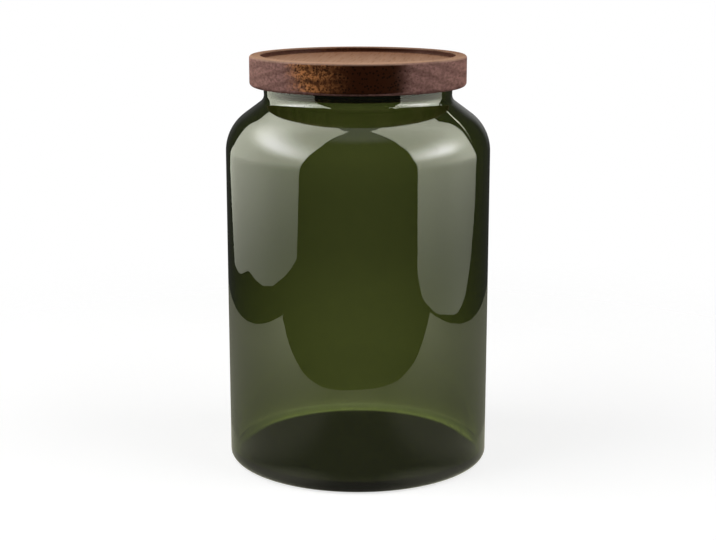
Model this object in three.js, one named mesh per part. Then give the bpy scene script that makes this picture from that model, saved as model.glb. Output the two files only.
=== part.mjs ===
import * as THREE from 'three';

// Lidded storage jar: a glass body, a turned wooden lid and the finned seal ring on the lid's plug.
// Millimetres, +Z up, with the origin at the centre of the foot that the jar stands on.

// Glass jar
const BODY_DIAMETER = 130;
const JAR_HEIGHT = 191;
const GLASS_WALL = 3;
const BASE_THICKNESS = 4;
const HEEL_RADIUS = 3.2;
const INNER_HEEL_RADIUS = 4.5;
const FOOT_RING_WIDTH = 6;
const PUNT_RISE = 1;
const SHOULDER_RADIUS = 22.2;
const SHOULDER_SLOPE = 9.2; // length of the straight slope between the shoulder's round and the neck's fillet
const NECK_FILLET_RADIUS = 6.4;
const NECK_DIAMETER = 92.1;
const NECK_HEIGHT = 7.2;

// Wooden lid
const LID_EDGE_HEIGHT = 15;
const LID_TOP_ROUND = 1.3;
const LID_BOTTOM_ROUND = 2;
const TRAY_RIM_WIDTH = 5.5;
const TRAY_RIM_ROUND = 0.6;
const TRAY_DEPTH = 2.5;
const TRAY_FILLET = 1;
const SKIRT_WALL = 6.2;
const SKIRT_DEPTH = 4.2; // how far the skirt hangs below the seat, round the top of the neck
const SKIRT_CHAMFER = 0.8;
const PLUG_COLLAR = 1.5;
const PLUG_FOOT = 1.6;
const PLUG_CHAMFER = 0.8;

// Seal ring
const SEAL_THICKNESS = 2;
const FIN_COUNT = 3;
const FIN_ROOT = 0.9;
const FIN_GAP = 0.7;
const FIN_TIP = 0.4;
const FIN_LIFT = 0.4; // how much higher a fin's tip is than its root

// Clearances
const SEAT_CLEARANCE = 0.2;
const SKIRT_CLEARANCE = 0.75;
const PLUG_CLEARANCE = 2.25;
const SEAL_CLEARANCE = 0.3;

// Facets
const SEGMENTS = 64;
const ARC_SAG = 0.1;
const SAME_POINT = 1e-4;

const bodyRadius = BODY_DIAMETER / 2;
const neckRadius = NECK_DIAMETER / 2;
const mouthRadius = neckRadius - GLASS_WALL;

const sealHeight = FIN_COUNT * (FIN_ROOT + FIN_GAP);
const grooveHeight = sealHeight + 2 * SEAL_CLEARANCE;
const plugRadius = mouthRadius - PLUG_CLEARANCE;
const grooveRadius = plugRadius - SEAL_THICKNESS;
const grooveTop = -PLUG_COLLAR;
const grooveBottom = grooveTop - grooveHeight;
const plugBottom = grooveBottom - PLUG_FOOT;

// A point of a turned profile: distance from the axis, then height.
function at(radius, height) {
  return new THREE.Vector2(radius, height);
}

// An arc of a profile, with as many chords as keep the sag under ARC_SAG. Angles are in degrees.
function arc(centre, radius, start, end) {
  const chordAngle = 2 * Math.acos(1 - ARC_SAG / Math.max(radius, ARC_SAG));
  const from = THREE.MathUtils.degToRad(start);
  const to = THREE.MathUtils.degToRad(end);
  const curve = new THREE.EllipseCurve(centre.x, centre.y, radius, radius, from, to, end < start);
  return curve.getPoints(Math.ceil(Math.abs(to - from) / chordAngle));
}

// A body of revolution about +Z. The profile runs from the underside, up the outside, to the top.
function turned(name, profile, material) {
  const outline = profile.filter((point, i) => i === 0 || point.distanceTo(profile[i - 1]) > SAME_POINT);
  const geometry = new THREE.LatheGeometry(outline, SEGMENTS);
  geometry.rotateX(Math.PI / 2);
  const mesh = new THREE.Mesh(geometry, material);
  mesh.name = name;
  return mesh;
}

// The underside rises in a shallow dome inside the foot ring.
function punt(footInner) {
  const radius = (footInner ** 2 + PUNT_RISE ** 2) / (2 * PUNT_RISE);
  const halfAngle = THREE.MathUtils.radToDeg(Math.asin(footInner / radius));
  return arc(at(0, PUNT_RISE - radius), radius, 90, 90 - halfAngle);
}

// The wall runs up the outside, over the rounded lip and down the inside at an even thickness.
function glassJar() {
  const footOuter = bodyRadius - HEEL_RADIUS;
  const footInner = footOuter - FOOT_RING_WIDTH;
  const innerRadius = bodyRadius - GLASS_WALL;
  const lipRadius = GLASS_WALL / 2;

  // The wall rounds in at the shoulder by the turn angle, slopes to the neck and turns back up in a fillet.
  // The slope is tangent to both rounds, so the angle follows from the step between the two radii.
  const roundSum = SHOULDER_RADIUS + NECK_FILLET_RADIUS;
  const step = bodyRadius - neckRadius;
  const turnAngle =
    Math.acos((roundSum - step) / Math.hypot(roundSum, SHOULDER_SLOPE)) - Math.atan2(SHOULDER_SLOPE, roundSum);
  const shoulderHeight = roundSum * Math.sin(turnAngle) + SHOULDER_SLOPE * Math.cos(turnAngle);
  const turn = THREE.MathUtils.radToDeg(turnAngle);
  const filletCentre = at(neckRadius + NECK_FILLET_RADIUS, JAR_HEIGHT - NECK_HEIGHT);
  const shoulderCentre = at(bodyRadius - SHOULDER_RADIUS, filletCentre.y - shoulderHeight);
  const lipCentre = at(neckRadius - lipRadius, JAR_HEIGHT - lipRadius);
  const innerHeelCentre = at(innerRadius - INNER_HEEL_RADIUS, BASE_THICKNESS + INNER_HEEL_RADIUS);

  const profile = [
    ...punt(footInner),
    ...arc(at(footOuter, HEEL_RADIUS), HEEL_RADIUS, -90, 0),
    ...arc(shoulderCentre, SHOULDER_RADIUS, 0, turn),
    ...arc(filletCentre, NECK_FILLET_RADIUS, 180 + turn, 180),
    ...arc(lipCentre, lipRadius, 0, 90),
    ...arc(lipCentre, lipRadius, 90, 180),
    ...arc(filletCentre, NECK_FILLET_RADIUS + GLASS_WALL, 180, 180 + turn),
    ...arc(shoulderCentre, SHOULDER_RADIUS - GLASS_WALL, turn, 0),
    ...arc(innerHeelCentre, INNER_HEEL_RADIUS, 0, -90),
    at(0, BASE_THICKNESS),
  ];
  const oliveGlass = new THREE.MeshStandardMaterial({
    color: 0x323a19,
    roughness: 0.05,
    metalness: 0,
    transparent: true,
    opacity: 0.8,
  });
  return turned('glass_jar', profile, oliveGlass);
}

// One turned board, with heights counted from its seat: plug below, skirt round the rim, tray on top.
function woodenLid() {
  const skirtRadius = neckRadius + SKIRT_CLEARANCE;
  const lidRadius = skirtRadius + SKIRT_WALL;
  const lidBottom = -SKIRT_DEPTH;
  const lidTop = lidBottom + LID_EDGE_HEIGHT;
  const trayRadius = lidRadius - TRAY_RIM_WIDTH;
  const trayFloor = lidTop - TRAY_DEPTH;

  const profile = [
    at(0, plugBottom),
    at(plugRadius - PLUG_CHAMFER, plugBottom),
    at(plugRadius, plugBottom + PLUG_CHAMFER),
    at(plugRadius, grooveBottom),
    at(grooveRadius, grooveBottom),
    at(grooveRadius, grooveTop),
    at(plugRadius, grooveTop),
    at(plugRadius, 0),
    at(skirtRadius, 0),
    at(skirtRadius, lidBottom + SKIRT_CHAMFER),
    at(skirtRadius + SKIRT_CHAMFER, lidBottom),
    ...arc(at(lidRadius - LID_BOTTOM_ROUND, lidBottom + LID_BOTTOM_ROUND), LID_BOTTOM_ROUND, -90, 0),
    ...arc(at(lidRadius - LID_TOP_ROUND, lidTop - LID_TOP_ROUND), LID_TOP_ROUND, 0, 90),
    ...arc(at(trayRadius + TRAY_RIM_ROUND, lidTop - TRAY_RIM_ROUND), TRAY_RIM_ROUND, 90, 180),
    ...arc(at(trayRadius - TRAY_FILLET, trayFloor + TRAY_FILLET), TRAY_FILLET, 0, -90),
    at(0, trayFloor),
  ];
  const darkWood = new THREE.MeshStandardMaterial({ color: 0x5e3f2b, roughness: 0.6, metalness: 0 });
  return turned('wooden_lid', profile, darkWood);
}

// A ring that lies in the plug's groove, with fins that lean up and reach for the mouth's wall.
function sealRing() {
  const innerRadius = grooveRadius + SEAL_CLEARANCE;
  const outerRadius = innerRadius + SEAL_THICKNESS;
  const finRadius = mouthRadius - SEAL_CLEARANCE;
  const finPitch = FIN_ROOT + FIN_GAP;

  const profile = [at(innerRadius, 0), at(outerRadius, 0)];
  for (let i = 0; i < FIN_COUNT; i++) {
    const rootMiddle = (i + 0.5) * finPitch;
    const tipMiddle = rootMiddle + FIN_LIFT;
    profile.push(
      at(outerRadius, rootMiddle - FIN_ROOT / 2),
      at(finRadius, tipMiddle - FIN_TIP / 2),
      at(finRadius, tipMiddle + FIN_TIP / 2),
      at(outerRadius, rootMiddle + FIN_ROOT / 2),
    );
  }
  profile.push(at(outerRadius, sealHeight), at(innerRadius, sealHeight), at(innerRadius, 0));

  const blackSilicone = new THREE.MeshStandardMaterial({ color: 0x141414, roughness: 0.55, metalness: 0 });
  const ring = turned('seal_ring', profile, blackSilicone);
  ring.position.z = grooveBottom + SEAL_CLEARANCE;
  return ring;
}

const lidWithSeal = new THREE.Group();
lidWithSeal.position.z = JAR_HEIGHT + SEAT_CLEARANCE;
lidWithSeal.add(woodenLid(), sealRing());

const liddedJar = new THREE.Group();
liddedJar.add(glassJar(), lidWithSeal);

export default liddedJar;
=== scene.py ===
"""A lidded storage jar in a small studio: olive glass, a turned lid of dark wood and a black seal ring."""

import math
from types import SimpleNamespace

import bpy
from mathutils import Color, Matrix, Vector


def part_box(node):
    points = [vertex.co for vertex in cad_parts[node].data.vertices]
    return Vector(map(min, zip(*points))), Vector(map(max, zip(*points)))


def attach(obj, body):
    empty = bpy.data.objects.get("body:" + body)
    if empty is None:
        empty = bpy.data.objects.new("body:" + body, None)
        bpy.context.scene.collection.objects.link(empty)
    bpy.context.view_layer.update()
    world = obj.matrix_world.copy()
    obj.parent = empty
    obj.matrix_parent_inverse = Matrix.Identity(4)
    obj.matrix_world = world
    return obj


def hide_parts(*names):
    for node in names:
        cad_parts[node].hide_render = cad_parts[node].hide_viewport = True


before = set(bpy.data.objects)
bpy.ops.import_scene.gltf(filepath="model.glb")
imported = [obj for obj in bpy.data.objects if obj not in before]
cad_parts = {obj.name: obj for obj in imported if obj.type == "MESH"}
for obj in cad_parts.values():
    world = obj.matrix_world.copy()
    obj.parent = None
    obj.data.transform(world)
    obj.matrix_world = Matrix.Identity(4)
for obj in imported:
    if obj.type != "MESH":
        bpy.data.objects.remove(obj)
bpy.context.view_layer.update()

MM = 0.001

# Sizes that the frame gives
_, jar_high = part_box("glass_jar")
lid_low, lid_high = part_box("wooden_lid")
seal_low, seal_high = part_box("seal_ring")

# Glass jar
BODY_RADIUS = jar_high.x
JAR_HEIGHT = jar_high.z
GLASS_WALL = 3 * MM
BASE_THICKNESS = 4 * MM
HEEL_RADIUS = 3.2 * MM
INNER_HEEL_RADIUS = 2 * MM
FOOT_RING_WIDTH = 6 * MM
FOOT_RING_ROUND = 2 * MM
PUNT_RISE = 1 * MM
SHOULDER_RADIUS = 22.2 * MM
SHOULDER_SLOPE = 10.15 * MM
NECK_FILLET_RADIUS = 4.5 * MM
NECK_RADIUS = 46.05 * MM
NECK_HEIGHT = 8.16 * MM
NECK_FLARE = 3.2  # degrees
LIP_FLARE = 0.36 * MM
MOUTH_RADIUS = NECK_RADIUS - GLASS_WALL

# Clearances
SKIRT_CLEARANCE = 0.75 * MM
PLUG_CLEARANCE = 2.25 * MM
SEAL_CLEARANCE = 0.3 * MM

# Wooden lid
LID_RADIUS = lid_high.x
LID_TOP = lid_high.z
LID_EDGE_HEIGHT = 15 * MM
LID_BOTTOM = LID_TOP - LID_EDGE_HEIGHT
LID_TOP_ROUND = 1.3 * MM
LID_BOTTOM_ROUND = 2 * MM
TRAY_RIM_WIDTH = 5.5 * MM
TRAY_RIM_ROUND = 0.6 * MM
TRAY_DEPTH = 2.5 * MM
TRAY_FILLET = 1 * MM
TRAY_RADIUS = LID_RADIUS - TRAY_RIM_WIDTH
TRAY_FLOOR = LID_TOP - TRAY_DEPTH
SKIRT_DEPTH = 4.2 * MM
SKIRT_ROUND = 0.8 * MM
SKIRT_RADIUS = NECK_RADIUS + SKIRT_CLEARANCE
LID_SEAT = LID_BOTTOM + SKIRT_DEPTH
PLUG_BOTTOM = lid_low.z
PLUG_RADIUS = MOUTH_RADIUS - PLUG_CLEARANCE
PLUG_ROUND = 0.8 * MM
CUT_ROUND = 0.2 * MM

# Seal ring, in the groove round the plug
SEAL_THICKNESS = 2 * MM
GROOVE_RADIUS = PLUG_RADIUS - SEAL_THICKNESS
SEAL_INNER_RADIUS = GROOVE_RADIUS + SEAL_CLEARANCE
SEAL_OUTER_RADIUS = SEAL_INNER_RADIUS + SEAL_THICKNESS
SEAL_FIN_RADIUS = seal_high.x
SEAL_BOTTOM = seal_low.z
SEAL_TOP = seal_high.z
SEAL_ROUND = 0.15 * MM
FIN_COUNT = 3
FIN_ROOT = 0.9 * MM
FIN_TIP = 0.4 * MM
FIN_LIFT = 0.4 * MM

# Fineness of the turned meshes
SEGMENTS = 192
ARC_STEP = math.radians(4)
LONGEST_RUN = 2 * MM
WELD = 0.001 * MM
WEAR_AND_HIGHLIGHT = "wear_and_highlight"  # the attribute that tells how far a point lies on a convex edge, from 0 to 1: the lid shows it as wear and as a painted highlight


def linear(red, green, blue):
    """A colour given in 0 to 255 screen values, as the linear colour that a shader takes."""
    screen = Color((red / 255, green / 255, blue / 255))
    return (*screen.from_srgb_to_scene_linear(), 1.0)


# Profiles: points (radius, height, wear and painted highlight), from the underside, up the outside, to the
# top

def arc(centre, radius, start, end, wear_and_highlight=0.0):
    """Points of an arc of a profile, from one angle to another in degrees."""
    first, last = math.radians(start), math.radians(end)
    steps = max(1, math.ceil(abs(last - first) / ARC_STEP))
    points = []
    for i in range(steps + 1):
        angle = first + (last - first) * i / steps
        rubbed_and_lit = wear_and_highlight * math.sin(math.pi * i / steps)
        points.append((centre[0] + radius * math.cos(angle), centre[1] + radius * math.sin(angle), rubbed_and_lit))
    return points


def rounded(corners):
    """A profile through corners (radius, height, round), each turned into an arc. Convex arcs are marked for
    wear and a painted highlight.
    """
    points = []
    for i, (radius, height, round_off) in enumerate(corners):
        if not round_off:
            points.append((radius, height, 0.0))
            continue
        corner = Vector((radius, height))
        before = (Vector(corners[i - 1][:2]) - corner).normalized()
        after = (Vector(corners[i + 1][:2]) - corner).normalized()
        half = before.angle(after) / 2
        centre = corner + (before + after).normalized() * (round_off / math.sin(half))
        spoke = corner + before * (round_off / math.tan(half)) - centre
        turn = 180 - 2 * math.degrees(half)
        convex = before.x * after.y - before.y * after.x < 0
        start = math.degrees(math.atan2(spoke.y, spoke.x))
        points += arc(centre, round_off, start, start + (turn if convex else -turn), float(convex))
    return points


def evened(points):
    """The profile with its long straight runs divided and its doubled points left out."""
    even = [points[0]]
    for point in points[1:]:
        start = even[-1]
        length = math.dist(start[:2], point[:2])
        steps = math.ceil(length / LONGEST_RUN)
        if length < WELD:
            continue
        even += [tuple(a + (b - a) * i / steps for a, b in zip(start, point)) for i in range(1, steps + 1)]
    return even


def glass_profile():
    """One closed wall: under the foot, up the outside, over the lip and down the inside at an even thickness.

    The slope is tangent to the shoulder's round and to the neck's fillet, so the step between the two radii
    gives the angle by which the shoulder turns in.
    """
    foot_outer = BODY_RADIUS - HEEL_RADIUS
    foot_inner = foot_outer - FOOT_RING_WIDTH
    inner_radius = BODY_RADIUS - GLASS_WALL
    lip_round = GLASS_WALL / 2
    round_sum = SHOULDER_RADIUS + NECK_FILLET_RADIUS
    slope_reach = math.hypot(round_sum, SHOULDER_SLOPE)
    step = BODY_RADIUS - NECK_RADIUS
    turn = math.acos((round_sum - step) / slope_reach) - math.atan2(SHOULDER_SLOPE, round_sum)
    shoulder_height = round_sum * math.sin(turn) + SHOULDER_SLOPE * math.cos(turn)
    fillet = (NECK_RADIUS + NECK_FILLET_RADIUS, JAR_HEIGHT - NECK_HEIGHT)
    shoulder = (BODY_RADIUS - SHOULDER_RADIUS, fillet[1] - shoulder_height)
    turn = math.degrees(turn)
    lip = (NECK_RADIUS + LIP_FLARE - lip_round, JAR_HEIGHT - lip_round)
    inner_heel = (inner_radius - INNER_HEEL_RADIUS, BASE_THICKNESS + INNER_HEEL_RADIUS)
    foot = rounded([
        (0, PUNT_RISE, 0),
        (foot_inner / 2, PUNT_RISE, foot_inner),
        (foot_inner, 0, FOOT_RING_ROUND),
        (foot_outer, 0, 0),
    ])
    return evened([
        *foot,
        *arc((foot_outer, HEEL_RADIUS), HEEL_RADIUS, -90, 0),
        *arc(shoulder, SHOULDER_RADIUS, 0, turn),
        *arc(fillet, NECK_FILLET_RADIUS, 180 + turn, 180 - NECK_FLARE),
        *arc(lip, lip_round, 0, 180),
        *arc(fillet, NECK_FILLET_RADIUS + GLASS_WALL, 180 - NECK_FLARE, 180 + turn),
        *arc(shoulder, SHOULDER_RADIUS - GLASS_WALL, turn, 0),
        *arc(inner_heel, INNER_HEEL_RADIUS, 0, -90),
        (0, BASE_THICKNESS, 0.0),
    ])


def lid_profile():
    """One turned board: the plug with its groove, the skirt round the rim, the edge and the tray."""
    groove_bottom = SEAL_BOTTOM - SEAL_CLEARANCE
    groove_top = SEAL_TOP + SEAL_CLEARANCE
    return evened(rounded([
        (0, PLUG_BOTTOM, 0),
        (PLUG_RADIUS, PLUG_BOTTOM, PLUG_ROUND),
        (PLUG_RADIUS, groove_bottom, CUT_ROUND),
        (GROOVE_RADIUS, groove_bottom, CUT_ROUND),
        (GROOVE_RADIUS, groove_top, CUT_ROUND),
        (PLUG_RADIUS, groove_top, CUT_ROUND),
        (PLUG_RADIUS, LID_SEAT, CUT_ROUND),
        (SKIRT_RADIUS, LID_SEAT, CUT_ROUND),
        (SKIRT_RADIUS, LID_BOTTOM, SKIRT_ROUND),
        (LID_RADIUS, LID_BOTTOM, LID_BOTTOM_ROUND),
        (LID_RADIUS, LID_TOP, LID_TOP_ROUND),
        (TRAY_RADIUS, LID_TOP, TRAY_RIM_ROUND),
        (TRAY_RADIUS, TRAY_FLOOR, TRAY_FILLET),
        (0, TRAY_FLOOR, 0),
    ]))


def seal_profile():
    """A closed ring with fins that lean up and reach for the wall of the mouth."""
    pitch = (SEAL_TOP - SEAL_BOTTOM) / FIN_COUNT
    middle = (SEAL_INNER_RADIUS + SEAL_OUTER_RADIUS) / 2
    corners = [(middle, SEAL_BOTTOM, 0), (SEAL_OUTER_RADIUS, SEAL_BOTTOM, SEAL_ROUND)]
    for i in range(FIN_COUNT):
        root = SEAL_BOTTOM + (i + 0.5) * pitch
        tip = root + FIN_LIFT
        corners += [
            (SEAL_OUTER_RADIUS, root - FIN_ROOT / 2, SEAL_ROUND),
            (SEAL_FIN_RADIUS, tip - FIN_TIP / 2, SEAL_ROUND),
            (SEAL_FIN_RADIUS, tip + FIN_TIP / 2, SEAL_ROUND),
            (SEAL_OUTER_RADIUS, root + FIN_ROOT / 2, SEAL_ROUND),
        ]
    corners += [
        (SEAL_OUTER_RADIUS, SEAL_TOP, SEAL_ROUND),
        (SEAL_INNER_RADIUS, SEAL_TOP, SEAL_ROUND),
        (SEAL_INNER_RADIUS, SEAL_BOTTOM, SEAL_ROUND),
        (middle, SEAL_BOTTOM, 0),
    ]
    return evened(rounded(corners))


# Node helpers

def add(tree, kind, inputs=None, **settings):
    """A new node. Inputs, by name or number, take a value, or a socket that is then linked to them."""
    made = tree.nodes.new(kind)
    for name, value in settings.items():
        setattr(made, name, value)
    for key, value in (inputs or {}).items():
        if isinstance(value, bpy.types.NodeSocket):
            tree.links.new(value, made.inputs[key])
        else:
            made.inputs[key].default_value = value
    return made


def math_node(tree, operation, *values):
    """The result of one operation on numbers or sockets."""
    return add(tree, "ShaderNodeMath", dict(enumerate(values)), operation=operation).outputs[0]


def chained(tree, operation, first, *others):
    """The result of one operation on many values, taken one after the other."""
    result = first
    for value in others:
        result = math_node(tree, operation, result, value)
    return result


def vector_node(tree, operation, *vectors):
    """The outputs of one operation on vectors: a vector first, and a number called Value."""
    return add(tree, "ShaderNodeVectorMath", dict(enumerate(vectors)), operation=operation).outputs


def parts(tree, vector):
    """The parts of a vector, by the names X, Y and Z."""
    return add(tree, "ShaderNodeSeparateXYZ", {0: vector}).outputs


def distance_from_axis(tree, place):
    """How far a place lies from the Z axis."""
    flat = vector_node(tree, "MULTIPLY", place, (1.0, 1.0, 0.0))[0]
    return vector_node(tree, "LENGTH", flat)["Value"]


def ranged(tree, value, low, high, to_low=0.0, to_high=1.0, how="SMOOTHSTEP"):
    """The value, taken from one range to another and held at its ends."""
    inputs = {"Value": value, "From Min": low, "From Max": high, "To Min": to_low, "To Max": to_high}
    return add(tree, "ShaderNodeMapRange", inputs, interpolation_type=how).outputs["Result"]


# The sockets of a mix node when it mixes colours
MIX_SHARE = 0
MIX_FIRST = 6
MIX_SECOND = 7
MIX_RESULT = 2


def mixed(tree, share, first, second):
    """A mix of two colours."""
    inputs = {MIX_SHARE: share, MIX_FIRST: first, MIX_SECOND: second}
    return add(tree, "ShaderNodeMix", inputs, data_type="RGBA").outputs[MIX_RESULT]


def noise(tree, place, scale, detail, roughness):
    """Noise from 0 to 1, about a middle of 0.5."""
    inputs = {"Vector": place, "Scale": scale, "Detail": detail, "Roughness": roughness}
    return add(tree, "ShaderNodeTexNoise", inputs).outputs["Fac"]


def new_finish(name):
    """A material with its principled shader and the piece's own coordinates."""
    finish = bpy.data.materials.new(name)
    finish.use_nodes = True
    tree = finish.node_tree
    shader = tree.nodes["Principled BSDF"]
    coordinates = add(tree, "ShaderNodeTexCoord").outputs
    return finish, tree, shader, coordinates


def raise_surface(tree, shader, strength, depth, height):
    """Small relief that only the shading shows."""
    bump = add(tree, "ShaderNodeBump", {"Strength": strength, "Distance": depth, "Height": height})
    tree.links.new(bump.outputs["Normal"], shader.inputs["Normal"])


# The lathe: a Geometry Nodes tree that sweeps a profile round the Z axis

def lathe_tree():
    """The tree, with inputs for the profile, its fineness and the finish."""
    tree = bpy.data.node_groups.new("Lathe", "GeometryNodeTree")
    for name, kind in (
        ("Profile", "NodeSocketGeometry"),
        ("Segments", "NodeSocketInt"),
        ("Weld distance", "NodeSocketFloat"),
        ("Finish", "NodeSocketMaterial"),
    ):
        tree.interface.new_socket(name, in_out="INPUT", socket_type=kind)
    tree.interface.new_socket("Turned", in_out="OUTPUT", socket_type="NodeSocketGeometry")
    given = add(tree, "NodeGroupInput").outputs
    profile, segments = given["Profile"], given["Segments"]

    count = add(tree, "GeometryNodeAttributeDomainSize", {0: profile}).outputs["Point Count"]
    rings = math_node(tree, "ADD", segments, 1.0)
    grid = add(tree, "GeometryNodeMeshGrid", {"Vertices X": rings, "Vertices Y": count}).outputs["Mesh"]
    index = add(tree, "GeometryNodeInputIndex").outputs[0]
    ring = math_node(tree, "FLOOR", math_node(tree, "DIVIDE", index, count))
    step = math_node(tree, "MODULO", index, count)

    position = add(tree, "GeometryNodeInputPosition").outputs[0]
    wear_and_highlight = add(
        tree, "GeometryNodeInputNamedAttribute", {"Name": WEAR_AND_HIGHLIGHT}, data_type="FLOAT",
    ).outputs["Attribute"]
    point = add(
        tree, "GeometryNodeSampleIndex",
        {"Geometry": profile, "Value": position, "Index": step}, data_type="FLOAT_VECTOR",
    ).outputs[0]
    worn_and_lit = add(
        tree, "GeometryNodeSampleIndex",
        {"Geometry": profile, "Value": wear_and_highlight, "Index": step}, data_type="FLOAT",
    ).outputs[0]
    angle = math_node(tree, "MULTIPLY", ring, math_node(tree, "DIVIDE", math.tau, segments))
    turned_point = add(
        tree, "ShaderNodeVectorRotate", {"Vector": point, "Angle": angle}, rotation_type="Z_AXIS",
    ).outputs[0]

    shell = add(tree, "GeometryNodeSetPosition", {"Geometry": grid, "Position": turned_point}).outputs[0]
    shell = add(
        tree, "GeometryNodeStoreNamedAttribute",
        {"Geometry": shell, "Name": WEAR_AND_HIGHLIGHT, "Value": worn_and_lit}, data_type="FLOAT", domain="POINT",
    ).outputs[0]
    shell = add(
        tree, "GeometryNodeMergeByDistance", {"Geometry": shell, "Distance": given["Weld distance"]},
    ).outputs[0]
    shell = add(tree, "GeometryNodeSetShadeSmooth", {"Geometry": shell}).outputs[0]
    shell = add(tree, "GeometryNodeRealizeInstances", {"Geometry": shell}).outputs[0]
    shell = add(tree, "GeometryNodeSetMaterial", {"Geometry": shell, "Material": given["Finish"]}).outputs[0]
    add(tree, "NodeGroupOutput", {"Turned": shell})
    return tree


def turned(name, profile, finish, lathe):
    """A plain mesh of the profile turned on the lathe."""
    outline = bpy.data.meshes.new(name)
    edges = [(i, i + 1) for i in range(len(profile) - 1)]
    outline.from_pydata([(radius, 0, height) for radius, height, _ in profile], edges, [])
    rubbed_and_lit = outline.attributes.new(WEAR_AND_HIGHLIGHT, "FLOAT", "POINT")
    rubbed_and_lit.data.foreach_set("value", [wear_and_highlight for _, _, wear_and_highlight in profile])
    piece = bpy.data.objects.new(name, outline)
    bpy.context.scene.collection.objects.link(piece)
    modifier = piece.modifiers.new("Lathe", "NODES")
    modifier.node_group = lathe
    identifiers = {s.name: s.identifier for s in lathe.interface.items_tree if s.in_out == "INPUT"}
    modifier[identifiers["Segments"]] = SEGMENTS
    modifier[identifiers["Weld distance"]] = WELD
    modifier[identifiers["Finish"]] = finish
    evaluated = piece.evaluated_get(bpy.context.evaluated_depsgraph_get())
    mesh = bpy.data.meshes.new_from_object(evaluated)
    piece.modifiers.clear()
    piece.data = mesh
    return piece


# Finishes

# Noise is given by its scale, detail and roughness. A range is given by where it starts and ends, and by what
# it gives there where that isn't 0 and 1.
WHITE = (1.0, 1.0, 1.0, 1.0)

GLASS_IOR = 1.5
GLASS_ABSORPTION = 755.0
GLASS_TINT = (0.303, 0.346, 0.0105, 1.0)
GLASS_WAVES = (22.0, 1.0, 0.5)
GLASS_WAVE_HEIGHT = 0.025 * MM


def olive_glass():
    """Clear polished glass, tinted through its thickness, with the faint waves of a blown wall."""
    finish, tree, shader, coordinates = new_finish("olive_glass")
    raise_surface(tree, shader, 1.0, GLASS_WAVE_HEIGHT, noise(tree, coordinates["Object"], *GLASS_WAVES))
    shader.inputs["Roughness"].default_value = 0.0
    shader.inputs["Base Color"].default_value = WHITE
    shader.inputs["IOR"].default_value = GLASS_IOR
    shader.inputs["Transmission Weight"].default_value = 1.0
    tint = add(tree, "ShaderNodeVolumeAbsorption", {"Color": GLASS_TINT, "Density": GLASS_ABSORPTION})
    tree.links.new(tint.outputs["Volume"], tree.nodes["Material Output"].inputs["Volume"])
    return finish


# Long-grain colours: the wood's own colour with a painted sheen folded in
WOOD_LONG_LIGHT_AND_SHEEN = linear(164, 122, 113)
WOOD_LONG_DARK_AND_SHEEN = linear(126, 91, 84)
WOOD_FACE_LIGHT = linear(204, 162, 132)
WOOD_FACE_DARK = linear(140, 100, 74)
WOOD_RING = linear(66, 38, 30)
WOOD_END_WARM = linear(218, 144, 86)
# Dark end grain; also the colour of the painted shade on the tray's wall
WOOD_END_DEEP_AND_SHADE = linear(56, 27, 12)
WOOD_PORE = linear(14, 6, 2)
# Worn colour, which also paints a highlight on the upper edges
WOOD_WORN_AND_HIGHLIGHT = linear(204, 166, 138)

# The board: how its fibres lie, and the marks that run through it
GRAIN_TURN = math.radians(5.5)
FIBRE_STRETCH = 0.06
PITH = Vector((-0.01, 0.0, 0.088))
RING_WAVE = {"Scale": 55.0, "Distortion": 3.5, "Detail": 4.0, "Detail Scale": 0.7}
STREAKS = (800.0, 3.0, 0.6)
FLECKS = (620.0, 3.0, 0.7)
BANDS = (150.0, 4.0, 0.6)
PATCHES = (45.0, 2.0, 0.5)
PATCHES_MIDDLE = 0.5
PORE_SCALE = 700.0
PORE_EDGE = (0.42, 0.2)

# How squarely a surface faces along the fibres, or up, before it shows end grain or face grain
END_GRAIN = (0.8, 0.93)
END_GRAIN_WANDER = 0.2
FACE_GRAIN = (0.6, 0.95)

# Colours over the marks
STREAK_RANGE = (0.3, 0.7)
LONG_RINGS = (0.3, 1.0, 0.0, 0.3)
# Painted shade: flat faces darker towards the back and lighter towards the front
FACE_PAINTED_SHADE = (0.01, -0.08)
FACE_BAND_SHIFT = -0.06
FACE_SHARE = 0.9
END_WARMING = (0.021, -0.016)
END_WARM_WANDER = 0.03
END_RINGS = (0.4, 1.0, 0.0, 0.5)
END_FLECKS = (0.55, 0.45, 0.0, 0.8)
PORES_ON_SIDES = 0.16
PORES_ON_ENDS = 0.8
PORES_ON_FACES = 0.2
# Painted shade on the tray's inward-facing wall
TRAY_WALL_PAINTED_SHADE = (-0.01, -0.03, 0.0, 0.86)
# Worn colour on convex edges, partly wear and partly a painted highlight, kept to the upper edges because the
# lower ones lie in shade
RUBBING_AND_HIGHLIGHT = (0.3, 0.6, 0.15, 0.5)
RUBBED_AND_LIT_HEIGHT = (LID_TOP - 12 * MM, LID_TOP - 6 * MM)

# Gloss and relief
WOOD_GLOSS = 0.015
SATIN = (0.42, 0.5)
PORE_ROUGHNESS = 0.2
WOOD_RELIEF = 0.4
PORE_DEPTH = 0.06 * MM
STREAK_RELIEF = 0.4
FACE_RELIEF = 0.06


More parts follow.
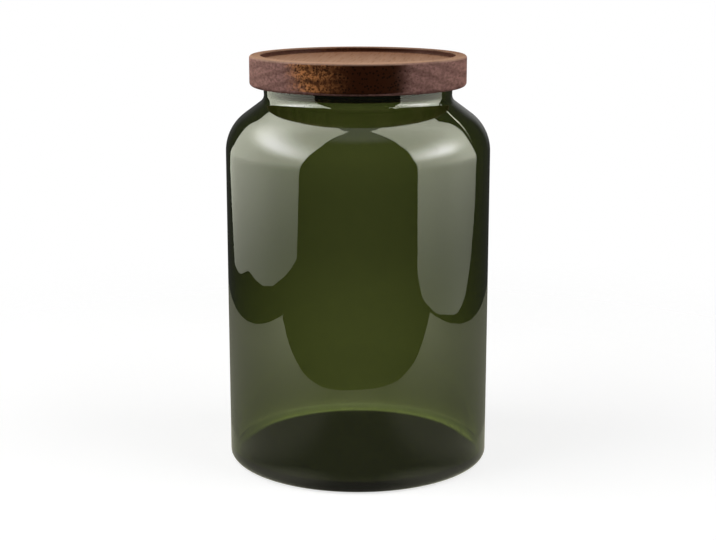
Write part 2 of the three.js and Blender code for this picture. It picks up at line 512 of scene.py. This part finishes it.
def wood_figure(tree, place, normal):
    """Where a point lies in the board, how its surface faces, and the marks that cross it."""
    board = add(tree, "ShaderNodeMapping", {"Vector": place, "Rotation": (0, 0, GRAIN_TURN)}).outputs[0]
    along = add(tree, "ShaderNodeMapping", {"Vector": board, "Scale": (1, FIBRE_STRETCH, 1)}).outputs[0]
    pith = add(tree, "ShaderNodeMapping", {"Vector": along, "Location": -PITH}).outputs[0]
    rings = add(
        tree, "ShaderNodeTexWave", {"Vector": pith, **RING_WAVE},
        wave_type="RINGS", rings_direction="Y", wave_profile="SIN",
    ).outputs["Fac"]
    cells = add(tree, "ShaderNodeTexVoronoi", {"Vector": along, "Scale": PORE_SCALE}).outputs["Distance"]
    patches = noise(tree, along, *PATCHES)

    facing = parts(tree, add(
        tree, "ShaderNodeVectorRotate", {"Vector": normal, "Angle": GRAIN_TURN}, rotation_type="Z_AXIS",
    ).outputs[0])
    endways = math_node(tree, "ABSOLUTE", facing["Y"])
    wander = math_node(tree, "SUBTRACT", patches, PATCHES_MIDDLE)
    endways = math_node(tree, "MULTIPLY_ADD", wander, END_GRAIN_WANDER, endways)
    spot = parts(tree, board)
    outward = vector_node(tree, "DOT_PRODUCT", place, normal)["Value"]
    outward = math_node(tree, "SUBTRACT", outward, math_node(tree, "MULTIPLY", spot["Z"], facing["Z"]))
    return SimpleNamespace(
        spot=spot,
        outward=outward,
        end_grain=ranged(tree, endways, *END_GRAIN),
        face_grain=ranged(tree, facing["Z"], *FACE_GRAIN),
        rings=rings,
        patches=patches,
        streaks=noise(tree, along, *STREAKS),
        flecks=noise(tree, along, *FLECKS),
        bands=noise(tree, along, *BANDS),
        pores=ranged(tree, cells, *PORE_EDGE),
    )


def long_colour(tree, figure):
    """Along the fibres: streaked and ringed on the sides; banded on flat faces, with a painted shade that
    darkens them towards the back.
    """
    # The sides' colours carry a painted sheen as well as the wood's streaks and rings
    side = mixed(tree, ranged(tree, figure.streaks, *STREAK_RANGE), WOOD_LONG_DARK_AND_SHEEN, WOOD_LONG_LIGHT_AND_SHEEN)
    side = mixed(tree, ranged(tree, figure.rings, *LONG_RINGS), side, WOOD_RING)
    # Painted shade: flat faces darker towards the back, with bands of figure through it
    painted_shade_and_bands = math_node(tree, "MULTIPLY_ADD", figure.bands, FACE_BAND_SHIFT, figure.spot["Y"])
    face = mixed(tree, ranged(tree, painted_shade_and_bands, *FACE_PAINTED_SHADE, how="LINEAR"), WOOD_FACE_DARK, WOOD_FACE_LIGHT)
    return mixed(tree, math_node(tree, "MULTIPLY", figure.face_grain, FACE_SHARE), side, face)


def end_colour(tree, figure):
    """Across the fibres: warm to the left and deep to the right, with rings and flecks."""
    warmth = math_node(tree, "MULTIPLY_ADD", figure.patches, END_WARM_WANDER, figure.spot["X"])
    end = mixed(tree, ranged(tree, warmth, *END_WARMING), WOOD_END_DEEP_AND_SHADE, WOOD_END_WARM)
    end = mixed(tree, ranged(tree, figure.rings, *END_RINGS), end, WOOD_END_DEEP_AND_SHADE)
    return mixed(tree, ranged(tree, figure.flecks, *END_FLECKS), end, WOOD_END_DEEP_AND_SHADE)


def lid_wood():
    """Dark oiled hardwood as a solid: fibres run from front to back, rings and pores through the board."""
    finish, tree, shader, coordinates = new_finish("lid_wood")
    figure = wood_figure(tree, coordinates["Object"], coordinates["Normal"])
    colour = mixed(tree, figure.end_grain, long_colour(tree, figure), end_colour(tree, figure))
    pore_share = chained(
        tree, "MULTIPLY", figure.pores,
        ranged(tree, figure.end_grain, 0.0, 1.0, PORES_ON_SIDES, PORES_ON_ENDS),
        ranged(tree, figure.face_grain, 0.0, 1.0, 1.0, PORES_ON_FACES),
    )
    colour = mixed(tree, pore_share, colour, WOOD_PORE)
    # Painted shade on the tray's inward-facing wall, in the dark end-grain colour
    colour = mixed(tree, ranged(tree, figure.outward, *TRAY_WALL_PAINTED_SHADE), colour, WOOD_END_DEEP_AND_SHADE)
    # Worn colour on the upper convex edges: partly wear, partly a painted highlight
    rubbing_and_highlight = chained(
        tree, "MULTIPLY", add(tree, "ShaderNodeAttribute", attribute_name=WEAR_AND_HIGHLIGHT).outputs["Fac"],
        ranged(tree, figure.patches, *RUBBING_AND_HIGHLIGHT),
        ranged(tree, figure.spot["Z"], *RUBBED_AND_LIT_HEIGHT),
    )
    colour = mixed(tree, rubbing_and_highlight, colour, WOOD_WORN_AND_HIGHLIGHT)
    tree.links.new(colour, shader.inputs["Base Color"])

    satin = ranged(tree, figure.streaks, *STREAK_RANGE, *SATIN)
    roughness = math_node(tree, "MULTIPLY_ADD", figure.pores, PORE_ROUGHNESS, satin)
    tree.links.new(roughness, shader.inputs["Roughness"])
    relief = math_node(tree, "MULTIPLY", figure.streaks, STREAK_RELIEF)
    relief = math_node(tree, "SUBTRACT", relief, figure.pores)
    relief = math_node(tree, "MULTIPLY", relief, ranged(tree, figure.face_grain, 0.0, 1.0, 1.0, FACE_RELIEF))
    raise_surface(tree, shader, WOOD_RELIEF, PORE_DEPTH, relief)
    shader.inputs["Specular IOR Level"].default_value = WOOD_GLOSS
    return finish


SEAL_DARK = linear(9, 9, 9)
SEAL_LIGHT = linear(22, 22, 21)
SEAL_GRAIN = (1800.0, 3.0, 0.5)
SEAL_ROUGHNESS = (0.3, 0.7, 0.5, 0.66)
SEAL_GLOSS = 0.25
SEAL_RELIEF = 0.3
SEAL_GRAIN_DEPTH = 0.03 * MM


def seal_silicone():
    """Matt black silicone with a fine moulded grain."""
    finish, tree, shader, coordinates = new_finish("seal_silicone")
    grain = noise(tree, coordinates["Object"], *SEAL_GRAIN)
    tree.links.new(mixed(tree, grain, SEAL_DARK, SEAL_LIGHT), shader.inputs["Base Color"])
    tree.links.new(ranged(tree, grain, *SEAL_ROUGHNESS), shader.inputs["Roughness"])
    shader.inputs["Specular IOR Level"].default_value = SEAL_GLOSS
    raise_surface(tree, shader, SEAL_RELIEF, SEAL_GRAIN_DEPTH, grain)
    return finish


# Pieces

lathe = lathe_tree()
for node, body, slot, profile, finish in (
    ("glass_jar", "jar", "olive_glass", glass_profile(), olive_glass()),
    ("wooden_lid", "lid", "lid_wood", lid_profile(), lid_wood()),
    ("seal_ring", "seal", "seal_silicone", seal_profile(), seal_silicone()),
):
    piece = turned(f"turned_{node}", profile, finish, lathe)
    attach(piece, body)
    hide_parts(node)


# Studio: directions are azimuth from the camera, to the right, and elevation, in degrees

STUDIO_CENTRE = Vector((0, 0, 0.1))
PATCH_STEPS = 24
RAY_KINDS = ("camera", "diffuse", "glossy", "transmission", "volume_scatter", "shadow")


def direction(azimuth, elevation):
    """The unit vector towards an azimuth and an elevation."""
    a, e = math.radians(azimuth), math.radians(elevation)
    return Vector((math.sin(a) * math.cos(e), -math.cos(a) * math.cos(e), math.sin(e)))


def stage_mesh(name, points, faces, finish, rays):
    """Studio gear that meets only the given kinds of ray."""
    mesh = bpy.data.meshes.new(name)
    mesh.from_pydata(points, [], faces)
    mesh.materials.append(finish)
    gear = bpy.data.objects.new(name, mesh)
    bpy.context.scene.collection.objects.link(gear)
    for kind in RAY_KINDS:
        setattr(gear, f"visible_{kind}", kind in rays)


def curved_patch(name, first_edge, last_edge, radius, finish):
    """Part of a sphere round the object, between two edges of directions. Only reflections show it."""
    row = PATCH_STEPS + 1
    points, faces = [], []
    for first, last in zip(first_edge, last_edge):
        for j in range(row):
            azimuth, elevation = (a + (b - a) * j / PATCH_STEPS for a, b in zip(first, last))
            points.append(STUDIO_CENTRE + radius * direction(azimuth, elevation))
    for i in range(len(first_edge) - 1):
        for j in range(PATCH_STEPS):
            corner = i * row + j
            faces.append((corner, corner + 1, corner + row + 1, corner + row))
    stage_mesh(name, points, faces, finish, ("glossy",))


def glow(name, tint=WHITE):
    """A material that only gives off light, with its emission node and the place that it lights."""
    finish = bpy.data.materials.new(name)
    finish.use_nodes = True
    tree = finish.node_tree
    tree.nodes.remove(tree.nodes["Principled BSDF"])
    emission = add(tree, "ShaderNodeEmission", {"Color": tint})
    tree.links.new(emission.outputs[0], tree.nodes["Material Output"].inputs["Surface"])
    place = add(tree, "ShaderNodeTexCoord").outputs["Object"]
    return finish, tree, emission, place


def bearing(tree, place):
    """The parts of the direction from the studio's centre to a place."""
    offset = vector_node(tree, "SUBTRACT", place, STUDIO_CENTRE)[0]
    return parts(tree, vector_node(tree, "NORMALIZE", offset)[0])


# Light screens on the left and the right, and the room behind them

SCREEN_RADIUS = 20.0
SCREEN_TINT = (0.98, 1.0, 0.83, 1.0)
SCREEN_LEVEL = 5.0
SCREEN_FOOT = (-13.5, -3, 0.28, 1.0)
SCREEN_FADE_LEAN = 0.4  # degrees by which the fading moves back with each degree of elevation
LAMP_TINT = (1.0, 1.0, 0.97, 1.0)
EDGE_LEVEL = 4.0

# The edges of each screen, from its foot to its top
LEFT_SCREEN_FRONT = [
    (-80, -13.05), (-72, -12.85), (-64, -12.6), (-58, -12.3), (-54, -12), (-52.5, -10.5),
    (-51, -8.6), (-49, -4), (-47, 4), (-45, 12), (-43, 20), (-41.5, 26),
    (-40.5, 30), (-39, 37), (-37.5, 46), (-38, 60), (-40, 75), (-56, 85),
]
LEFT_SCREEN_REAR = [
    (-89, -13.05), (-97, -12.9), (-106, -12.6), (-113, -12.4), (-138, -12.2), (-142, -10.5),
    (-146, -8.6), (-142, -4), (-136, 4), (-135, 12), (-139.5, 20), (-145.5, 26),
    (-149, 30), (-145.5, 37), (-141.5, 46), (-136.5, 60), (-138, 73), (-120, 81),
]
RIGHT_SCREEN_FRONT = [
    (76, -14.2), (67, -14), (57, -13.5), (52.5, -12.6), (52, -10), (51.5, -6), (49.5, 3), (48, 10),
    (47.3, 17), (46.5, 26), (45.5, 33.5), (45, 38), (44.5, 48), (45, 62), (50, 76), (74, 84),
]
RIGHT_SCREEN_REAR = [
    (90, -14.2), (100, -14), (108, -13.4), (115, -12.2), (121.5, -10), (123.5, -7), (119, 3), (118, 10),
    (118.5, 17), (123.5, 26), (132.5, 33.5), (141, 38), (138.5, 48), (134, 62), (137, 74), (105, 82),
]

# The lit edge of a frame behind the right screen
FRAME_EDGE_UNDER = [
    (120, 13), (122, 16.5), (126, 21), (131, 25.5), (136, 28), (143, 29.7), (151, 30.5),
]
FRAME_EDGE_OVER = [
    (120.5, 13), (122.8, 17.6), (126.5, 22.2), (131, 26.7), (136, 29.2), (143, 30.9), (151, 31.6),
]

# The room, by the parts of the direction
ROOM_RADIUS = 30.0
ROOM_RINGS = range(-90, 91, 10)
ROOM_CEILING = (0.75, 0.93, 0.04, 0.7)
ROOM_BACKDROP = (0.85, 0.98, 0.0, 0.35)
BACKDROP_FOOT = (-0.15, 0.1)
BACKDROP_SIDES = (-0.2, 0.2, 0.2, 0.8)


def screen_glow(name, lamp, lamp_level, reach, tilt, back, lean):
    """A diffusing screen with a lamp behind it. Azimuth counts to either side, in degrees.

    Lamp: its azimuth and elevation.
    Reach: how far the lamp's glow spreads to the front and the back, and downwards and upwards.
    Tilt: how much the glow rises with each degree towards the back.
    Back: where the screen starts to fade, where it ends, and what is left there.
    Lean: how much the dim foot of the screen sinks with each degree towards the back.
    """
    finish, tree, emission, place = glow(name, SCREEN_TINT)
    part = bearing(tree, place)
    elevation = math_node(tree, "DEGREES", math_node(tree, "ARCSINE", part["Z"]))
    sideways = math_node(tree, "ABSOLUTE", part["X"])
    forwards = math_node(tree, "MULTIPLY", part["Y"], -1.0)
    azimuth = math_node(tree, "DEGREES", math_node(tree, "ARCTAN2", sideways, forwards))

    def spread(value, below, above):
        """Squared distance from the lamp in units of its reach, which differs on the two sides."""
        up = math_node(tree, "DIVIDE", value, above)
        down = math_node(tree, "DIVIDE", value, -below)
        return math_node(tree, "POWER", math_node(tree, "MAXIMUM", up, down), 2.0)

    along = math_node(tree, "SUBTRACT", azimuth, lamp[0])
    ridge = math_node(tree, "MULTIPLY_ADD", along, tilt, lamp[1])
    across = math_node(tree, "SUBTRACT", elevation, ridge)
    (front, rear), (lower, upper) = reach
    distance = math_node(tree, "ADD", spread(along, front, rear), spread(across, lower, upper))
    peak = math_node(tree, "EXPONENT", math_node(tree, "MULTIPLY", distance, -1.0))
    tree.links.new(mixed(tree, peak, SCREEN_TINT, LAMP_TINT), emission.inputs["Color"])

    foot = ranged(tree, math_node(tree, "MULTIPLY_ADD", along, lean, elevation), *SCREEN_FOOT)
    fade_start, fade_end, share_left = back
    leaning = math_node(tree, "MULTIPLY_ADD", elevation, -SCREEN_FADE_LEAN, azimuth)
    fading = ranged(tree, leaning, fade_start, fade_end, SCREEN_LEVEL, SCREEN_LEVEL * share_left)
    level = math_node(tree, "MULTIPLY", foot, fading)
    tree.links.new(math_node(tree, "MULTIPLY_ADD", peak, lamp_level, level), emission.inputs["Strength"])
    return finish


def even_glow(name, strength):
    """The screens' light at one level all over."""
    finish, _, emission, _ = glow(name, SCREEN_TINT)
    emission.inputs["Strength"].default_value = strength
    return finish


def room_glow():
    """A dark room, lighter overhead, with a dim backdrop behind the object."""
    finish, tree, emission, place = glow("room_glow")
    part = bearing(tree, place)
    ceiling = ranged(tree, part["Z"], *ROOM_CEILING)
    backdrop = chained(
        tree, "MULTIPLY",
        ranged(tree, part["Y"], *ROOM_BACKDROP),
        ranged(tree, part["Z"], *BACKDROP_FOOT),
        ranged(tree, part["X"], *BACKDROP_SIDES),
    )
    tree.links.new(math_node(tree, "ADD", ceiling, backdrop), emission.inputs["Strength"])
    return finish


left_glow = screen_glow(
    "left_glow", lamp=(82, 26), lamp_level=9.0, reach=((42, 42), (11, 19)), tilt=0.27,
    back=(89, 149, 0.4), lean=0.025,
)
right_glow = screen_glow(
    "right_glow", lamp=(82, 17), lamp_level=9.8, reach=((36, 20), (8, 14)), tilt=0.12,
    back=(95, 135, 0.5), lean=-0.04,
)
frame_glow = even_glow("screen_edge", EDGE_LEVEL)
curved_patch("left_screen", LEFT_SCREEN_FRONT, LEFT_SCREEN_REAR, SCREEN_RADIUS, left_glow)
curved_patch("right_screen", RIGHT_SCREEN_FRONT, RIGHT_SCREEN_REAR, SCREEN_RADIUS, right_glow)
curved_patch("screen_edge", FRAME_EDGE_UNDER, FRAME_EDGE_OVER, SCREEN_RADIUS, frame_glow)
curved_patch(
    "room",
    [(-180, elevation) for elevation in ROOM_RINGS],
    [(180, elevation) for elevation in ROOM_RINGS],
    ROOM_RADIUS, room_glow(),
)


# Plates under the foot, in metres from the jar's axis

PLATE_DROP = 0.2 * MM
RING_STEPS = 96


def disc(radius):
    """Outline of a round plate."""
    turns = [math.tau * i / RING_STEPS for i in range(RING_STEPS)]
    return [(radius * math.cos(turn), radius * math.sin(turn)) for turn in turns]


def flat_stage(name, outline, finish, rays):
    """A flat plate just under the foot."""
    points = [(x, y, -PLATE_DROP) for x, y in outline]
    stage_mesh(name, points, [tuple(range(len(points)))], finish, rays)


FLOOR_RADIUS = 0.5
FLOOR_FADE = (0.2, FLOOR_RADIUS, 1.0, 0.0)
FLOOR_COLOUR = (0.5, 0.5, 0.496, 1.0)
FLOOR_ROUGHNESS = 0.8
FLOOR_LIFT = 0.68


def pale_floor():
    """The floor that the camera sees: pale, with the object's soft shadow, fading into the white backdrop."""
    finish, tree, shader, coordinates = new_finish("pale_floor")
    shader.inputs["Base Color"].default_value = FLOOR_COLOUR
    shader.inputs["Roughness"].default_value = FLOOR_ROUGHNESS
    shader.inputs["Specular IOR Level"].default_value = 0.0
    shader.inputs["Emission Color"].default_value = WHITE
    seen = add(tree, "ShaderNodeLightPath").outputs["Is Camera Ray"]
    tree.links.new(math_node(tree, "MULTIPLY", seen, FLOOR_LIFT), shader.inputs["Emission Strength"])
    radius = distance_from_axis(tree, coordinates["Object"])
    tree.links.new(ranged(tree, radius, *FLOOR_FADE), shader.inputs["Alpha"])
    flat_stage("pale_floor", disc(FLOOR_RADIUS), finish, ("camera", "diffuse", "shadow"))


# The mirrored table: its outline
TABLE_HALF_WIDTH = 0.353
TABLE_HALF_DEPTH = 0.53
TABLE_MIDDLE = -0.1
TABLE_FRONT = -0.187
TABLE_FRONT_SLANT = -0.04
TABLE_NOSE = 0.047
TABLE_NOSE_WIDTH = 0.15

# Its light: the open table, the jar's shade on it, and what the jar's foot throws beside it
TABLE_TINT = (1.0, 1.0, 0.78, 1.0)
TABLE_SIDES = (0.08, 0.3, 0.3, 0.95)
TABLE_RIGHT = (0.0, 0.15, 1.0, 0.88)
TABLE_FRONT_STRIP = (-0.15, -0.2, 0.0, 0.28)
TABLE_DEPTH_FADE = 0.28
SHADE_MIDDLE = (0.0, -0.088, 0.0)
SHADE_REACH = (0.138, 0.108, 1.0)
SHADE_EDGE = (0.92, 1.08)
SHADE_LEVEL = (0.045, 0.1, 0.2, 0.5)
RIM_OUTSIDE = (0.075, 0.071)
RIM_INSIDE = (0.0612, 0.0628)
RIM_RISE = (0.0, 0.04, 0.3, 0.9)
RIM_END = (0.068, 0.052, 0.3, 1.0)
BESIDE_REACH = (0.11, 0.085, 0.0, 0.38)
BESIDE_FRONT = (-0.06, -0.015)
NEAR_REACH = (0.105, 0.078)
NEAR_RISE = (0.01, 0.045, 0.32, 0.8)
NEAR_END = (0.075, 0.05, 0.45, 1.0)


def table_outline():
    """A table with round sides and a front edge that bulges in the middle."""
    outline = []
    start = math.asin((TABLE_FRONT - TABLE_MIDDLE) / TABLE_HALF_DEPTH)
    for i in range(RING_STEPS + 1):
        turn = start + (math.pi - 2 * start) * i / RING_STEPS
        outline.append((TABLE_HALF_WIDTH * math.cos(turn), TABLE_MIDDLE + TABLE_HALF_DEPTH * math.sin(turn)))
    left = outline[-1][0]
    for i in range(RING_STEPS + 1):
        x = left * (1 - 2 * i / RING_STEPS)
        nose = TABLE_NOSE * math.exp(-((x / TABLE_NOSE_WIDTH) ** 2))
        outline.append((x, TABLE_FRONT + TABLE_FRONT_SLANT * x - nose))
    return outline


def mirrored_table():
    """The table that the glass mirrors: bright at the front and sides, with shade and light near the jar."""
    finish, tree, emission, place = glow("mirrored_table", TABLE_TINT)
    part = parts(tree, place)
    sideways = math_node(tree, "ABSOLUTE", part["X"])
    radius = distance_from_axis(tree, place)

    sides = ranged(tree, sideways, *TABLE_SIDES, "LINEAR")
    sides = math_node(tree, "MULTIPLY", sides, ranged(tree, part["X"], *TABLE_RIGHT))
    front = ranged(tree, part["Y"], *TABLE_FRONT_STRIP)
    depth = math_node(tree, "EXPONENT", math_node(tree, "DIVIDE", part["Y"], -TABLE_DEPTH_FADE))
    open_table = math_node(tree, "MULTIPLY", math_node(tree, "MAXIMUM", sides, front), depth)

    offset = vector_node(tree, "SUBTRACT", place, SHADE_MIDDLE)[0]
    shade = distance_from_axis(tree, vector_node(tree, "DIVIDE", offset, SHADE_REACH)[0])
    lit = ranged(tree, shade, *SHADE_EDGE)
    dark = ranged(tree, sideways, *SHADE_LEVEL)
    shaded = math_node(tree, "MULTIPLY_ADD", lit, math_node(tree, "SUBTRACT", open_table, dark), dark)

    rim = chained(
        tree, "MULTIPLY",
        ranged(tree, radius, *RIM_OUTSIDE),
        ranged(tree, radius, *RIM_INSIDE),
        ranged(tree, part["X"], *RIM_RISE),
        ranged(tree, part["X"], *RIM_END),
    )
    beside = chained(
        tree, "MULTIPLY",
        ranged(tree, radius, *BESIDE_REACH),
        ranged(tree, part["Y"], *BESIDE_FRONT),
    )
    near = chained(
        tree, "MULTIPLY",
        ranged(tree, radius, *NEAR_REACH),
        ranged(tree, sideways, *NEAR_RISE),
        ranged(tree, sideways, *NEAR_END),
    )
    tree.links.new(chained(tree, "MAXIMUM", shaded, beside, rim, near), emission.inputs["Strength"])
    flat_stage("mirrored_table", table_outline(), finish, ("glossy",))


# The floor through the glass: the backdrop's levels, the light that the foot gathers, and the shade under it
BACKDROP_RADIUS = 1.1
BACKDROP_NEAR = 1.12
BACKDROP_DIP = 0.78
BACKDROP_FALL = (0.2, 0.55, BACKDROP_NEAR, BACKDROP_DIP)
BACKDROP_RISE = (0.75, BACKDROP_RADIUS, BACKDROP_DIP, 1.0)
GATHERED_LIGHT = 2.3
GATHERED_REACH = 0.012
GATHERED_TINT = (1.0, 1.0, 1.7, 1.0)
EDGE_LIGHT = (-0.06, -0.035, 0.11, 1.1)
EDGE_REACH = 0.003
UNDER_EDGE = (0.056, 0.0605)
UNDER_FRONT_DRAW = (-0.03, 0.02, -0.009, 0.0)


def floor_through_glass():
    """The floor as it shows through the glass: dark under the foot, bright where the foot gathers light."""
    finish, tree, emission, place = glow("floor_through_glass")
    part = parts(tree, place)
    radius = distance_from_axis(tree, place)

    inwards = math_node(tree, "SUBTRACT", BODY_RADIUS, radius)
    wide = math_node(tree, "EXPONENT", math_node(tree, "DIVIDE", inwards, GATHERED_REACH))
    narrow = math_node(tree, "EXPONENT", math_node(tree, "DIVIDE", inwards, EDGE_REACH))
    narrow = math_node(tree, "MULTIPLY", narrow, ranged(tree, part["X"], *EDGE_LIGHT))
    gathered = math_node(tree, "MULTIPLY_ADD", wide, GATHERED_LIGHT, math_node(tree, "ADD", narrow, 1.0))
    tree.links.new(mixed(tree, wide, WHITE, GATHERED_TINT), emission.inputs["Color"])

    backdrop = math_node(
        tree, "MAXIMUM", ranged(tree, radius, *BACKDROP_FALL), ranged(tree, radius, *BACKDROP_RISE),
    )
    drawn_in = math_node(tree, "ADD", radius, ranged(tree, part["Y"], *UNDER_FRONT_DRAW))
    under = ranged(tree, drawn_in, *UNDER_EDGE)
    tree.links.new(chained(tree, "MULTIPLY", gathered, backdrop, under), emission.inputs["Strength"])
    flat_stage("floor_through_glass", disc(BACKDROP_RADIUS), finish, ("transmission",))


pale_floor()
mirrored_table()
floor_through_glass()


# Lamps and world

LAMP_DISTANCE = 1.0
LAMP_SIZE = 0.9
LAMP_ELEVATION = 38
WORLD_FILL = 0.15


def soft_lamp(name, azimuth, power):
    """A square soft light that faces the object and doesn't show in reflections."""
    data = bpy.data.lights.new(name, "AREA")
    data.shape = "SQUARE"
    data.size = LAMP_SIZE
    data.energy = power
    lamp = bpy.data.objects.new(name, data)
    towards = direction(azimuth, LAMP_ELEVATION)
    lamp.location = STUDIO_CENTRE + towards * LAMP_DISTANCE
    lamp.rotation_mode = "QUATERNION"
    lamp.rotation_quaternion = towards.to_track_quat("Z", "Y")
    lamp.visible_camera = False
    lamp.visible_glossy = False
    lamp.visible_transmission = False
    bpy.context.scene.collection.objects.link(lamp)


def white_world():
    """White where it is seen, straight, mirrored or through glass, and a low fill for the rest."""
    world = bpy.data.worlds.new("white_backdrop")
    world.use_nodes = True
    tree = world.node_tree
    path = add(tree, "ShaderNodeLightPath").outputs
    seen = chained(
        tree, "MAXIMUM", path["Is Camera Ray"], path["Is Transmission Ray"], path["Is Glossy Ray"],
    )
    background = tree.nodes["Background"]
    background.inputs["Color"].default_value = WHITE
    tree.links.new(ranged(tree, seen, 0.0, 1.0, WORLD_FILL, 1.0, "LINEAR"), background.inputs["Strength"])
    bpy.context.scene.world = world


soft_lamp("left_lamp", azimuth=-76, power=6.5)
soft_lamp("right_lamp", azimuth=74, power=5.2)
white_world()


# Camera: the distance and height that give the lid and the base the ellipses of the photograph

IMAGE_WIDTH = 716
FOCAL_PIXELS = 1530
SENSOR_WIDTH = 36.0
CAMERA_PLACE = (0.0, -0.750, 0.261)
CAMERA_PITCH = math.radians(12.52)


def photo_camera():
    """A camera without shift, in front of the jar and pitched down to it."""
    data = bpy.data.cameras.new("camera")
    data.sensor_width = SENSOR_WIDTH
    data.lens = FOCAL_PIXELS * SENSOR_WIDTH / IMAGE_WIDTH
    camera = bpy.data.objects.new("camera", data)
    camera.location = CAMERA_PLACE
    camera.rotation_euler = (math.pi / 2 - CAMERA_PITCH, 0, 0)
    bpy.context.scene.collection.objects.link(camera)
    bpy.context.scene.camera = camera


photo_camera()
bpy.context.scene.view_settings.view_transform = "Standard"
